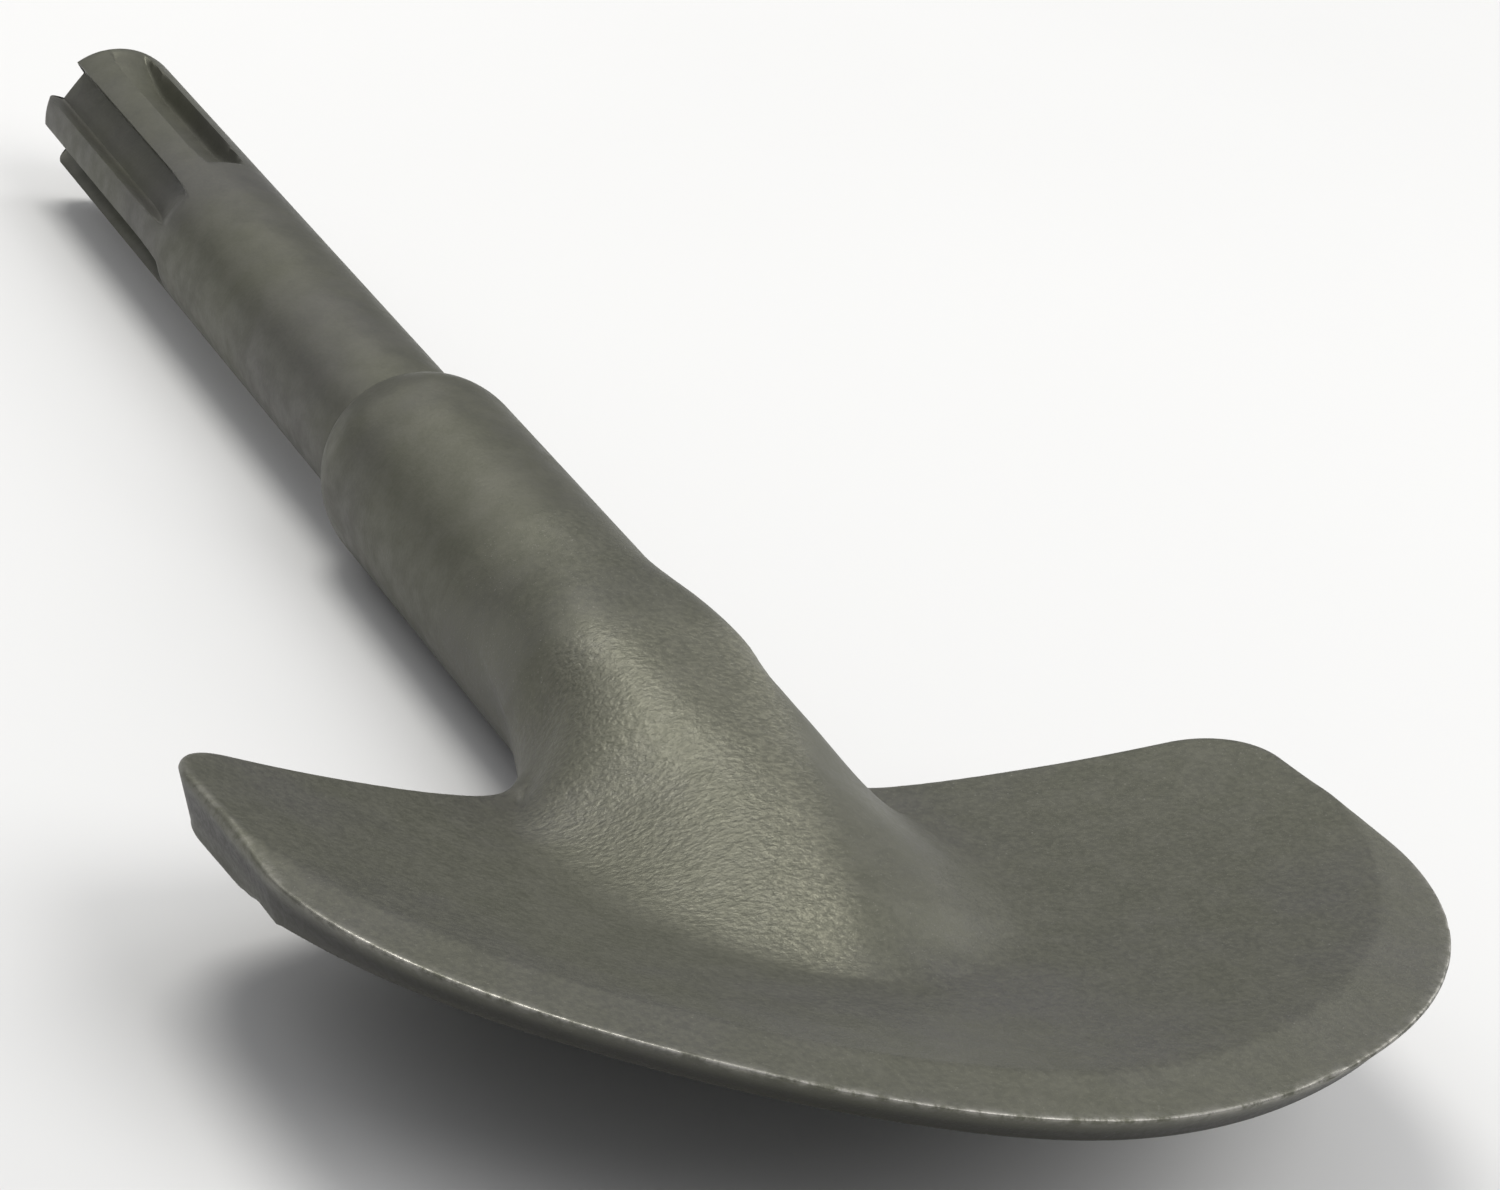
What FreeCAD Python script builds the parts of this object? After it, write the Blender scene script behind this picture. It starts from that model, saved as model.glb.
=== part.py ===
"""Scoop chisel for a rotary demolition hammer.

A slotted 18 mm drive shank, a round neck bar and a dished blade with a convex cutting edge.
The three pieces meet in plane butt joints square to the tool's axis.

Frame: millimetres. The origin is the centre of the shank's struck end, +X runs along the
tool's axis towards the blade, and +Z is the hollow side of the blade.
"""
import FreeCAD, Part
import math
import os

Vector = FreeCAD.Vector

# ---- drive shank ------------------------------------------------------------------------
SHANK_RADIUS = 9.0
SHANK_LENGTH = 99.0           # struck end to the shoulder
END_CHAMFER = 0.8
SLOT_WIDTH = 5.0              # three drive slots, open at the struck end
SLOT_DEPTH = 2.5
SLOT_LENGTH = 43.0
SLOT_ANGLES = (0.0, 150.0, 210.0)
SLOT_RUNOUT_RADIUS = 14.0     # the cutter's radius where a slot comes up to the surface
CUTTER_CLEARANCE = 1.0        # the cutters reach this far outside the bar
LOCK_WIDTH = 5.0              # two closed locking grooves, opposite each other
LOCK_DEPTH = 2.4
LOCK_START = 3.0
LOCK_END = 38.0
LOCK_ANGLES = (90.0, 270.0)

# ---- neck bar ---------------------------------------------------------------------------
NECK_RADIUS = 11.5
SHOULDER_LENGTH = 7.5         # length of the rounded shoulder
BLADE_JOINT = 137.0           # plane where the bar meets the blade forging

# ---- blade outline, seen from above -----------------------------------------------------
HALF_WIDTH = 58.4
NOSE = 252.1                  # front of the convex cutting edge
SIDE_END = 203.8              # where the straight side turns into the cutting edge
NOSE_EXPONENT = 1.76          # 2 would be an ellipse; less is more pointed
BACK_EDGE = 171.4             # the back edge at BACK_EDGE_Y from the axis
BACK_EDGE_Y = 24.5
BACK_SWEEP = 0.198            # forward sweep of the back edge towards the corners
ROOT_FILLET = 11.2            # between the neck and the back edge
CORNER_RADIUS = 9.2
BEVEL_START = 190.3           # where the ground bevel begins on the straight side
BEVEL_NOSE = 244.5            # inner border of the bevel on the centre line
BEVEL_EXPONENT = 1.18         # curve of that border; 1 is an ellipse
STATION_EXPONENT = 2.0        # the same for the first curve across the blade, behind the frog
SPREAD_FLOOR = 0.02           # keeps the points across the centre line from bunching

# ---- blade section ----------------------------------------------------------------------
PLATE = 6.3                   # thickness
DISH_ORIGIN = 171.0           # the dish's height is given from this station
DISH_HEIGHT = -3.3
DISH_SLOPE = 0.1239
DISH_LENGTHWISE = 0.00156     # curvature terms of the dish
DISH_CROSSWISE = 0.00365
WING_FLATTENING = 0.74e-8     # takes some of the crosswise curve off the wings
FLATTENING_LEAD = 5.1         # the wings begin to flatten softly, this far behind that station
BEVEL_DROP = 2.5              # height taken off at the nose by the bevel
BEVEL_TAPER = 1.2             # how fast the drop goes from its side value to its nose value
SIDE_BEVEL_DROP = 1.1         # and at the front end of the straight side
SIDE_LEAN = 2.2               # the underside is this much narrower at each side
FRONT_LEAN = 1.4              # and this much shorter at the nose
FRONT_LEAN_START = 190.0
EDGE_FACE = 3.0               # height of the blunt face under the cutting edge
EDGE_FACE_AT_SIDE = 5.4       # and where that edge runs into the side
EDGE_FACE_POWER = 6           # even; keeps that increase near the side

# ---- frog: the ridge that carries the neck into the blade ---------------------------------
SWELL_START = 141.9           # the neck's upper half begins to swell
SWELL = 1.9                   # by this much on each side
FROG_ROOT = 162.6             # the root fillet leaves the neck
FLARE_END = 183.5             # the frog has spread to its full width
SPINE_START = 152.0           # the spine begins to descend
FROG_END = 215.0
FROG_END_HEIGHT = 6.6
SPINE_EXPONENT = 1.3          # 1 is a straight spine, more is a crowned one
SPINE_LIMIT = 1.6             # the spine is carried this far below the dish, over its length
RISE_SOFTNESS = 1.2           # blend radius where the spine meets the dish
FROG_HALF_WIDTH = 23.0
FROG_WIDEST = 193.0
FROG_TOE = 24.5               # from there it narrows over this length, as an ellipse
TOE_LIMIT = 0.985             # cut short just before its tip
TOE_FADE_START = 206.0        # where the frog's last height dies away
TOE_FADE_END = 224.0
BASE_START = 152.0            # the flank's foot goes down from the axis to the dish
BASE_END = 174.5
BOX_END = 161.5
BOX_EXPONENT = 3.45           # section of the swollen neck; 2 is round
FLANK_START = 161.0           # the flanks turn from round to straight
FLANK_STRAIGHT = 172.5
FLANK_OVERLAP = 4.0
FLANK_HOLLOW = 184          # and then hollow
PLATE_START = 152.0           # the round underside spreads into the plate
PLATE_END = 172.0
ROUND_END = 156.0             # beyond this the border is a corner and no longer a round bar's side
TOE_EXPONENT = 1.95
FLANK_EXPONENT = 1.85          # 0.5 is a round section, more than 1 is a hollow flank
KEEL_END = 201.0              # the neck's round underside fades into the plate by here
KEEL_HALF_WIDTH = 16.0
KEEL_FADE_START = 165.0
KEEL_SPREAD_END = 190.0
KEEL_SOFTNESS = 0.6

# ---- grids of surface poles ---------------------------------------------------------------
NECK_STEPS = 10
FILLET_STEPS = 8
BACK_STEPS = 8
CORNER_STEPS = 5
SIDE_STEPS = 3
BEVEL_STEPS = 5
CROSS_STEPS = 40
WALL_STEPS = 4
NECK_SHEET_ANGLE = 75.0       # the top and bottom sheets cover this much of the round neck


def smooth_step(low, high, value):
    u = min(max((value - low) / (high - low), 0.0), 1.0)
    return u * u * (3.0 - 2.0 * u)


def smooth_positive(value, softness):
    return 0.5 * (value + math.hypot(value, softness))


def mix(a, b, weight):
    return a + (b - a) * weight


# ---- heights over the plan ----------------------------------------------------------------
def dish(x, y):
    """Height of the blade's hollow face, before the bevel and the frog."""
    along = x - DISH_ORIGIN
    forward = smooth_positive(along + FLATTENING_LEAD, FLATTENING_LEAD)
    height = DISH_HEIGHT + DISH_SLOPE * along + DISH_LENGTHWISE * along * along
    return height + DISH_CROSSWISE * y * y - WING_FLATTENING * forward * y ** 4


def ridge(x):
    """Height of the frog's spine on the centre line."""
    u = min(max((x - SPINE_START) / (FROG_END - SPINE_START), 0.0), SPINE_LIMIT)
    return NECK_RADIUS - (NECK_RADIUS - FROG_END_HEIGHT) * u ** SPINE_EXPONENT


def frog_half_width(x):
    """Half the frog's width at its foot; on the neck it is the bar's own radius."""
    width = NECK_RADIUS + SWELL * smooth_step(SWELL_START, FROG_ROOT, x)
    width = mix(width, FROG_HALF_WIDTH, smooth_step(FROG_ROOT, FLARE_END, x))
    u = min(max((x - FROG_WIDEST) / FROG_TOE, 0.0), TOE_LIMIT)
    return width * math.sqrt(1.0 - u * u)


def hollow_face(x, y):
    """Upper face: the round neck that turns into the frog, which stands on the dish."""
    base = smooth_step(BASE_START, BASE_END, x)
    rise = ridge(x) - base * dish(x, 0.0)
    rise = mix(rise, smooth_positive(rise, RISE_SOFTNESS), base)
    rise *= 1.0 - smooth_step(TOE_FADE_START, TOE_FADE_END, x)
    box = 2.0 + (BOX_EXPONENT - 2.0) * smooth_step(SWELL_START, BOX_END, x)
    box = mix(box, TOE_EXPONENT, smooth_step(FROG_ROOT, FLANK_HOLLOW, x))
    flank = mix(0.5, 1.0, smooth_step(FLANK_START, FLANK_STRAIGHT, x))
    flank = mix(flank, FLANK_EXPONENT, smooth_step(FLANK_STRAIGHT - FLANK_OVERLAP, FLANK_HOLLOW, x))
    s = min(abs(y) / frog_half_width(x), 1.0)
    return base * dish(x, y) + rise * (1.0 - s ** box) ** flank


def underside(x, y):
    """The plate's lower face, with a keel under the neck."""
    keel = smooth_positive(dish(x, 0.0) - PLATE + NECK_RADIUS, KEEL_SOFTNESS)
    keel *= 1.0 - smooth_step(KEEL_FADE_START, KEEL_END, x)
    spread = smooth_step(SPINE_START, KEEL_SPREAD_END, x)
    half_width = mix(KEEL_HALF_WIDTH, FROG_HALF_WIDTH, spread)
    s = min(abs(y) / half_width, 1.0)
    return dish(x, y) - PLATE - keel * (1.0 - s * s) ** 2


# ---- plan outline ---------------------------------------------------------------------------
def spaced(start, end, steps):
    return [(mix(start[0], end[0], k / steps), mix(start[1], end[1], k / steps)) for k in range(steps)]


def arc_points(centre, radius, first, last, steps):
    angles = [math.radians(mix(first, last, k / steps)) for k in range(steps + 1)]
    return [(centre[0] + radius * math.cos(a), centre[1] + radius * math.sin(a)) for a in angles]


def outline():
    """Points of the right-hand border, from the joint with the neck to the side's front end."""
    lean = math.hypot(1.0, BACK_SWEEP)
    tilt = math.degrees(math.atan(BACK_SWEEP))
    root_y = NECK_RADIUS + SWELL + ROOT_FILLET
    root = (BACK_EDGE + BACK_SWEEP * (root_y - BACK_EDGE_Y) - ROOT_FILLET * lean, root_y)
    corner_y = HALF_WIDTH - CORNER_RADIUS
    corner = (BACK_EDGE + BACK_SWEEP * (corner_y - BACK_EDGE_Y) + CORNER_RADIUS * lean, corner_y)
    fillet = arc_points(root, ROOT_FILLET, -90.0, -tilt, FILLET_STEPS)
    rounding = arc_points(corner, CORNER_RADIUS, 180.0 - tilt, 90.0, CORNER_STEPS)
    side = (BEVEL_START, HALF_WIDTH)
    points = [(x, frog_half_width(x)) for x, _ in spaced((BLADE_JOINT, 0.0), fillet[0], NECK_STEPS)]
    points += fillet[:-1]
    points += spaced(fillet[-1], rounding[0], BACK_STEPS)
    points += rounding[:-1]
    points += spaced(rounding[-1], side, SIDE_STEPS)
    points += spaced(side, (SIDE_END, HALF_WIDTH), BEVEL_STEPS)
    points.append((SIDE_END, HALF_WIDTH))
    return points


def stations():
    """Each station is a curve across the blade: its border point, centre x and curve exponents."""
    border = outline()
    bevel = len(border) - 1 - BEVEL_STEPS
    travelled = [0.0]
    for a, b in zip(border, border[1:]):
        travelled.append(travelled[-1] + math.dist(a, b))
    start = travelled[NECK_STEPS]
    result = []
    for k, (x, y) in enumerate(border):
        if k <= NECK_STEPS:
            result.append((x, y, x, STATION_EXPONENT, 1.0, 0.0))
            continue
        u = min((travelled[k] - start) / (travelled[bevel] - start), 1.0)
        v = max(k - bevel, 0) / BEVEL_STEPS
        centre = mix(mix(border[NECK_STEPS][0], BEVEL_NOSE, u), NOSE, v)
        cosine = mix(mix(STATION_EXPONENT, BEVEL_EXPONENT, u), 2.0 / NOSE_EXPONENT, v)
        sine = mix(1.0, 2.0 / NOSE_EXPONENT, u)
        result.append((x, y, centre, cosine, sine, v))
    return result, bevel


def plan_point(station, t):
    """A point of a station's curve; t runs from -1 at the left border to 1 at the right one."""
    x, y, centre, cosine, sine, _ = station
    angle = 0.5 * math.pi * t
    spread = (math.sin(angle) ** 2 + SPREAD_FLOOR) / (1.0 + SPREAD_FLOOR)
    across = math.sin(angle) * spread ** (0.5 * (sine - 1.0))
    return mix(x, centre, max(math.cos(angle), 0.0) ** cosine), y * across


def sheet_angle(station):
    """The upper sheet ends at this angle from the top of the round neck."""
    return math.radians(mix(NECK_SHEET_ANGLE, 90.0, smooth_step(BLADE_JOINT, ROUND_END, station[2])))


def plate_weight(station):
    return smooth_step(PLATE_START, PLATE_END, station[2])


def upper_point(station, t):
    x, y = plan_point(station, t)
    if station[0] == station[2]:
        y = station[1] * math.sin(sheet_angle(station) * t)
    middle = max(math.cos(0.5 * math.pi * t), 0.0)
    taken = station[5] * mix(SIDE_BEVEL_DROP, BEVEL_DROP, middle ** BEVEL_TAPER)
    return Vector(x, y, hollow_face(x, y) - taken)


def lower_point(station, t):
    x, y = plan_point(station, t)
    weight = plate_weight(station)
    front = smooth_step(FRONT_LEAN_START, NOSE, station[2])
    x -= FRONT_LEAN * front * math.cos(0.5 * math.pi * t)
    y *= 1.0 - SIDE_LEAN / HALF_WIDTH * weight
    ground = upper_point(station, t).z - mix(EDGE_FACE, EDGE_FACE_AT_SIDE, t ** EDGE_FACE_POWER)
    blade = Vector(x, y, mix(underside(x, y), ground, station[5]))
    angle = math.radians(NECK_SHEET_ANGLE * t)
    bar = Vector(x, NECK_RADIUS * math.sin(angle), -NECK_RADIUS * math.cos(angle))
    return bar + (blade - bar) * weight


def wall_point(station, side, w):
    """A point of the border wall; w runs from 0 at the upper edge to 1 at the lower edge."""
    top = upper_point(station, side)
    bottom = lower_point(station, side)
    limit = math.radians(90.0 - NECK_SHEET_ANGLE)
    bulge = NECK_RADIUS * (math.cos(mix(limit, -limit, w)) - math.cos(limit))
    bulge *= 1.0 - smooth_step(BLADE_JOINT, ROUND_END, station[2])
    return top + (bottom - top) * w + Vector(0.0, side * bulge, 0.0)


# ---- surfaces ---------------------------------------------------------------------------------
def clamped_knots(poles, degree):
    inner = poles - degree
    mults = [degree + 1] + [1] * (inner - 1) + [degree + 1]
    return list(range(inner + 1)), mults


def surface(grid):
    rows = len(grid)
    columns = len(grid[0])
    row_degree = min(3, rows - 1)
    column_degree = min(3, columns - 1)
    row_knots, row_mults = clamped_knots(rows, row_degree)
    column_knots, column_mults = clamped_knots(columns, column_degree)
    patch = Part.BSplineSurface()
    patch.buildFromPolesMultsKnots(grid, row_mults, column_mults, row_knots, column_knots,
                                   False, False, row_degree, column_degree)
    return patch.toShape()


def blade_solid():
    lines, bevel = stations()
    across = [-1.0 + 2.0 * j / CROSS_STEPS for j in range(CROSS_STEPS + 1)]
    down = [k / WALL_STEPS for k in range(WALL_STEPS + 1)]
    faces = []
    for part in (lines[:bevel + 1], lines[bevel:]):
        faces.append(surface([[upper_point(s, t) for t in across] for s in part]))
        faces.append(surface([[lower_point(s, t) for t in across] for s in part]))
        for side in (-1.0, 1.0):
            faces.append(surface([[wall_point(s, side, w) for w in down] for s in part]))
    front = lines[-1]
    rows = []
    for w in down:
        rows.append([upper_point(front, t) * (1.0 - w) + lower_point(front, t) * w for t in across])
    faces.append(surface(rows))
    back = lines[0]
    ring = []
    for points in ([upper_point(back, t) for t in across],
                   [wall_point(back, 1.0, w) for w in down],
                   [lower_point(back, t) for t in reversed(across)],
                   [wall_point(back, -1.0, w) for w in reversed(down)]):
        curve = Part.BSplineCurve()
        knots, mults = clamped_knots(len(points), min(3, len(points) - 1))
        curve.buildFromPolesMultsKnots(points, mults, knots, False, min(3, len(points) - 1))
        ring.append(curve.toShape())
    faces.append(Part.Face(Part.Wire(ring)))
    shell = Part.Compound(faces)
    shell.sewShape(1.0e-4)
    solid = Part.Solid(shell.Shells[0] if shell.Shells else shell)
    if solid.Volume < 0:
        solid.reverse()
    return solid


def cylinder(radius, start, end):
    return Part.makeCylinder(radius, end - start, Vector(start, 0, 0), Vector(1, 0, 0))


def turned(points):
    """A solid of revolution about the tool's axis from a closed half-profile wire."""
    face = Part.Face(Part.Wire(points))
    return face.revolve(Vector(0, 0, 0), Vector(1, 0, 0), 360)


def at_angle(shape, degrees):
    shape.rotate(Vector(0, 0, 0), Vector(1, 0, 0), degrees)
    return shape


def slot_tool(start, end, width, depth, closed):
    """Cutter for a slot on the +Y side; its floor is plane and it rises by the cutter's radius."""
    floor = SHANK_RADIUS - depth
    top = SHANK_RADIUS + CUTTER_CLEARANCE
    radius = SLOT_RUNOUT_RADIUS
    rise = math.sqrt(radius ** 2 - (radius - (top - floor)) ** 2)
    half = 0.5 * width
    middle = radius - math.sqrt(radius ** 2 - (0.5 * rise) ** 2)
    points = [Vector(end - rise, floor, -half), Vector(end - 0.5 * rise, floor + middle, -half),
              Vector(end, top, -half)]
    edges = [Part.Arc(*points).toShape()]
    if closed:
        near = [Vector(start, top, -half), Vector(start + 0.5 * rise, floor + middle, -half),
                Vector(start + rise, floor, -half)]
        edges.append(Part.LineSegment(points[2], near[0]).toShape())
        edges.append(Part.Arc(*near).toShape())
        edges.append(Part.LineSegment(near[2], points[0]).toShape())
    else:
        corner = Vector(start - CUTTER_CLEARANCE, top, -half)
        foot = Vector(start - CUTTER_CLEARANCE, floor, -half)
        edges.append(Part.LineSegment(points[2], corner).toShape())
        edges.append(Part.LineSegment(corner, foot).toShape())
        edges.append(Part.LineSegment(foot, points[0]).toShape())
    face = Part.Face(Part.Wire(edges))
    return face.extrude(Vector(0, 0, width))


def drive_shank():
    body = cylinder(SHANK_RADIUS, 0.0, SHANK_LENGTH)
    rim = [e for e in body.Edges if abs(e.BoundBox.XMax) < 1e-6]
    body = body.makeChamfer(END_CHAMFER, rim)
    for angle in SLOT_ANGLES:
        body = body.cut(at_angle(slot_tool(0.0, SLOT_LENGTH, SLOT_WIDTH, SLOT_DEPTH, False), angle))
    for angle in LOCK_ANGLES:
        body = body.cut(at_angle(slot_tool(LOCK_START, LOCK_END, LOCK_WIDTH, LOCK_DEPTH, True), angle))
    return body.Solids[0]


def neck_bar():
    """Round bar with a shoulder turned to one large radius that runs out tangent to the bar."""
    step = NECK_RADIUS - SHANK_RADIUS
    radius = (SHOULDER_LENGTH ** 2 + step ** 2) / (2.0 * step)
    half = 0.5 * SHOULDER_LENGTH
    middle = NECK_RADIUS - radius + math.sqrt(radius ** 2 - half ** 2)
    start = Vector(SHANK_LENGTH, 0, 0)
    edge = Vector(SHANK_LENGTH, SHANK_RADIUS, 0)
    crest = Vector(SHANK_LENGTH + half, middle, 0)
    full = Vector(SHANK_LENGTH + SHOULDER_LENGTH, NECK_RADIUS, 0)
    far = Vector(BLADE_JOINT, NECK_RADIUS, 0)
    end = Vector(BLADE_JOINT, 0, 0)
    profile = [Part.LineSegment(start, edge).toShape(), Part.Arc(edge, crest, full).toShape(),
               Part.LineSegment(full, far).toShape(), Part.LineSegment(far, end).toShape(),
               Part.LineSegment(end, start).toShape()]
    return turned(profile)


def main():
    os.makedirs("parts", exist_ok=True)
    pieces = {"drive_shank": drive_shank(), "neck_bar": neck_bar(), "scoop_blade": blade_solid()}
    for name, solid in pieces.items():
        print(name, solid.ShapeType, solid.isValid(), round(solid.Volume), solid.BoundBox)
        solid.exportStep("parts/" + name + ".step")


main()
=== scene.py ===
"""Looks of the scoop chisel: fine meshes, dark phosphated steel, a pale floor and soft light.

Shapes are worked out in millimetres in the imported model's frame (origin at the centre of the
struck end, +X towards the blade, +Z the hollow side) and scaled to metres when a mesh is made.
"""

import math

import bmesh
import bpy
import numpy as np
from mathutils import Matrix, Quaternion, Vector, geometry, noise


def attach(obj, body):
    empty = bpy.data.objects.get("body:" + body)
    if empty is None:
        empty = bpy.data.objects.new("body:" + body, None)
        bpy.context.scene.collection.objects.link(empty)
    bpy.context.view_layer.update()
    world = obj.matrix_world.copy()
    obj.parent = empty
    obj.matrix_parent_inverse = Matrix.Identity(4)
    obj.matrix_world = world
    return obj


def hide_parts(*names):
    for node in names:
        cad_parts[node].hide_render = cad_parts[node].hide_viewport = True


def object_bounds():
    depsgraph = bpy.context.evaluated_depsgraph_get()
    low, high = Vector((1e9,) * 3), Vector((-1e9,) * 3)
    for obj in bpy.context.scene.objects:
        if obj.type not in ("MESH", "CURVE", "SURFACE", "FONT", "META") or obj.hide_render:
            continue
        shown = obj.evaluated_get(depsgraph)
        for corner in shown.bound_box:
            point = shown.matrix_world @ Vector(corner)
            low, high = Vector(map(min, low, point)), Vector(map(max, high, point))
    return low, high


MM = 0.001
TINY = 1e-6

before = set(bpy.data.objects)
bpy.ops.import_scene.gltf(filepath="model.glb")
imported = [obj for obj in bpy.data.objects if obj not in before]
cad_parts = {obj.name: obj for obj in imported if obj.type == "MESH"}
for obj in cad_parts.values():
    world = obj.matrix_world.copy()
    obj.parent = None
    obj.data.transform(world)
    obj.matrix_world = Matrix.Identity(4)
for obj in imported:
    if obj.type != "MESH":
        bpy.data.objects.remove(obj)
cad_low, cad_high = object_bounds()

# ---- drive shank ------------------------------------------------------------------------
SHANK_RADIUS = 9.0
SHANK_LENGTH = 99.0
SLOT_DEPTH = 2.5
SLOT_LENGTH = 43.0
SLOT_ANGLES = (0.0, 150.0, 210.0)
LOCK_DEPTH = 2.4
LOCK_START = 3.0
LOCK_END = 38.0
LOCK_ANGLES = (90.0, 270.0)
RUNOUT_RADIUS = 14.0
SLOT_FLOOR_HALF_WIDTH = 2.1
SLOT_DRAFT = 0.55             # the slot's walls lean out by this much
SLOT_WALL_RISE = 2.6          # and gain this much height over it
SLOT_EDGE_SOFTNESS = 1.8      # how gently the walls run into the round bar
LOCK_SOFTER = 1.4             # the closed grooves' edges are softer by this factor
SOFTNESS_GONE = -3.2          # the softness dies away where the channel would lie above the bar
SOFTNESS_FULL = 0.2
SECTION_HALF_WIDTH = 3.4      # a slot's section is shaped over this much each side of its middle
SECTION_BLEND = 0.4           # and returns to the round bar over its last part
SECTION_POINTS = 41
SECTION_CROWDING = 0.8        # below 1 the section's points crowd towards its borders
RIM_ROUNDING = 1.8
RIM_WEAR = 0.6

# ---- neck bar ---------------------------------------------------------------------------
NECK_RADIUS = 11.5
SHOULDER_LENGTH = 7.5

BLADE_JOINT = 137.0           # plane where the bar meets the blade forging

# ---- blade outline, seen from above -----------------------------------------------------
HALF_WIDTH = 58.4
NOSE = 252.1                  # front of the convex cutting edge
SIDE_END = 203.8              # where the straight side turns into the cutting edge
NOSE_EXPONENT = 1.76          # 2 would be an ellipse; less is more pointed
BACK_EDGE = 171.4             # the back edge at BACK_EDGE_Y from the axis
BACK_EDGE_Y = 24.5
BACK_SWEEP = 0.198            # forward sweep of the back edge towards the corners
ROOT_FILLET = 11.2            # between the neck and the back edge
CORNER_RADIUS = 9.2
BEVEL_START = 190.3           # where the ground bevel begins on the straight side
BEVEL_NOSE = 244.5            # inner border of the bevel on the centre line
BEVEL_EXPONENT = 1.18         # curve of that border; 1 is an ellipse
SPREAD_FLOOR = 0.02           # keeps the points across the centre line from bunching

# ---- blade section ----------------------------------------------------------------------
PLATE = 6.3                   # thickness
DISH_ORIGIN = 171.0           # the dish's height is given from this station
DISH_HEIGHT = -3.3
DISH_SLOPE = 0.1239
DISH_LENGTHWISE = 0.00156     # curvature terms of the dish
DISH_CROSSWISE = 0.00365
WING_FLATTENING = 0.74e-8     # takes some of the crosswise curve off the wings
FLATTENING_LEAD = 5.1         # the wings begin to flatten softly, this far behind that station
BEVEL_DROP = 2.5              # height taken off at the nose by the bevel
BEVEL_TAPER = 1.2             # how fast the drop goes from its side value to its nose value
SIDE_BEVEL_DROP = 1.1         # and at the front end of the straight side
SIDE_LEAN = 2.2               # the underside is this much narrower at each side
FRONT_LEAN = 1.4              # and this much shorter at the nose
FRONT_LEAN_START = 190.0
EDGE_FACE = 3.0               # height of the blunt face under the cutting edge
EDGE_FACE_AT_SIDE = 5.4       # and where that edge runs into the side
EDGE_FACE_POWER = 6           # even; keeps that increase near the side

# ---- frog: the ridge that carries the neck into the blade ---------------------------------
SWELL_START = 141.9           # the neck's upper half begins to swell
SWELL = 1.9                   # by this much on each side
FROG_ROOT = 162.6             # the root fillet leaves the neck
FLARE_END = 183.5             # the frog has spread to its full width
SPINE_START = 152.0           # the spine begins to descend
FROG_END = 215.0
FROG_END_HEIGHT = 6.6
SPINE_EXPONENT = 1.3          # 1 is a straight spine, more is a crowned one
SPINE_LIMIT = 1.6             # the spine is carried this far below the dish, over its length
RISE_SOFTNESS = 1.2           # blend radius where the spine meets the dish
FROG_HALF_WIDTH = 23.0
FROG_WIDEST = 193.0
FROG_TOE = 24.5               # from there it narrows over this length, as an ellipse
TOE_LIMIT = 0.985             # cut short just before its tip
TOE_FADE_START = 206.0        # where the frog's last height dies away
TOE_FADE_END = 224.0
BASE_START = 152.0            # the flank's foot goes down from the axis to the dish
BASE_END = 174.5
BOX_END = 161.5
BOX_EXPONENT = 3.45           # section of the swollen neck; 2 is round
FLANK_START = 161.0           # the flanks turn from round to straight
FLANK_STRAIGHT = 172.5
FLANK_OVERLAP = 4.0
FLANK_HOLLOW = 184.0          # and then hollow
PLATE_START = 152.0           # the round underside spreads into the plate
PLATE_END = 172.0
ROUND_END = 156.0             # beyond this the border is a corner and no longer a round bar's side
TOE_EXPONENT = 1.95
FLANK_EXPONENT = 1.85         # 0.5 is a round section, more than 1 is a hollow flank
KEEL_END = 201.0              # the neck's round underside fades into the plate by here
KEEL_HALF_WIDTH = 16.0
KEEL_FADE_START = 165.0
KEEL_SPREAD_END = 190.0
KEEL_SOFTNESS = 0.6
NECK_SHEET_ANGLE = 75.0       # the top and bottom sheets cover this much of the round neck

# ---- mesh density and edge rounding -----------------------------------------------------
LOFT_END = 159.8              # the neck is lofted to here; beyond it the blade is meshed in plan
LOFT_STATIONS = 45
BORDER_STEP = 0.55            # spacing of points along the blade's border
BORDER_ROWS = (0.0, 0.05, 0.14, 0.28, 0.48, 0.8, 1.25)
FINE_STEP = 0.42              # spacing on the frog
PLAIN_STEP = 0.8              # and on the plate
ROW_HEIGHT = 0.866            # rows of a triangular grid lie this many steps apart
FROG_MARGIN_X = 3.0           # the fine grid reaches this far past the frog
FROG_MARGIN_Y = 1.5
GRID_CLEARANCE = 0.45         # steps left free between the grid and the border's rows
MERGE_DISTANCE = 1e-5
WALL_ROWS = 8
BACK_ROUNDING = 0.9
EDGE_ROUNDING = 0.28
ROUNDING_REACH = 10.0         # the rounding starts within this distance of the neck's end
PAST_ROUNDING = 10.0          # added to a distance from the border to leave its rounding out
ROOT_CENTRE = 165.0           # middle of the notches between neck and wings
ROOT_REACH = (9.0, 4.0)       # they are evened out over this radius first, and over this one last
ROOT_ROUNDS = 24
ROOT_MIN_Y = 8.0              # the frog between them stays as it is
SHARP_EDGE = 38.0             # degrees; edges that turn more than this stay sharp
BLADE_SHARP_EDGE = 50.0

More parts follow.
